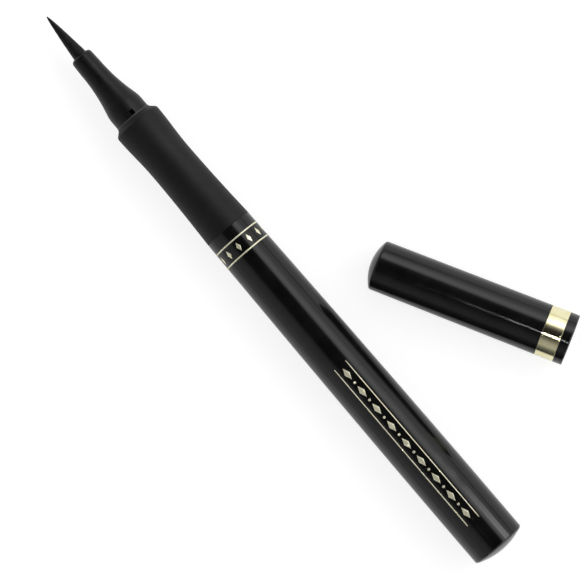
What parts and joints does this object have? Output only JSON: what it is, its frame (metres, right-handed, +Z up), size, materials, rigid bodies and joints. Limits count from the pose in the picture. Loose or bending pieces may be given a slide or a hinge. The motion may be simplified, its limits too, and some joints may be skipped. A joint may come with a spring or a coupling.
{
  "type": "liquid eyeliner pen",
  "caption": "Slim liquid eyeliner pen with a tapered fibre nib, flared nozzle, waisted matte grip and glossy tapered barrel, its domed cap with a metal band lying beside it.",
  "frame": {"origin": "on the surface that the pen and the cap lie on, under the middle of the box around both", "axes": "+X from the nib towards the tail, +Y towards the side on which the cap lies, +Z up. The pen's own axis rises 0.46 degrees towards the tail, because the pen rests on its shoulder and on the fullest part of its barrel."},
  "size_m": [0.1268, 0.0433, 0.0107],
  "materials": {
    "nib_fibre": "dense black fibre, pointed",
    "core_fibre": "bonded fibre rod soaked with ink",
    "nozzle_satin": "satin moulding",
    "grip_matte": "fine matte moulding",
    "barrel_gloss": "high gloss",
    "cap_gloss": "high gloss",
    "collar_gloss": "high gloss",
    "band_gold": "polished pale gold anodised",
    "inner_plastic": "natural moulding",
    "collector_plastic": "natural moulding, stained by ink",
    "tank_plastic": "natural translucent moulding",
    "ball_steel": "polished steel"
  },
  "bodies": {
    "pen": {"nib": "nib_fibre", "nib_holder": "inner_plastic", "nozzle": "nozzle_satin", "grip_sleeve": "grip_matte", "collector": "collector_plastic", "feed_core": "core_fibre", "tank_plug": "inner_plastic", "ink_tank": "tank_plastic", "barrel": "barrel_gloss", "tail_plug": "barrel_gloss"},
    "ball": {"mixing_ball": "ball_steel"},
    "cap": {"cap_shell": "cap_gloss", "cap_band": "band_gold", "cap_collar": "collar_gloss", "cap_liner": "inner_plastic"}
  },
  "joints": [
    {"name": "cap_pull", "type": "slide", "parent": "pen", "child": "cap", "axis": [0.8821, 0.471, 0.0038], "range_m": [0, 0.0247]},
    {"name": "ball_roll", "type": "slide", "parent": "pen", "child": "ball", "axis": [1, 0, 0.008], "range_m": [0, 0.0491]}
  ]
}
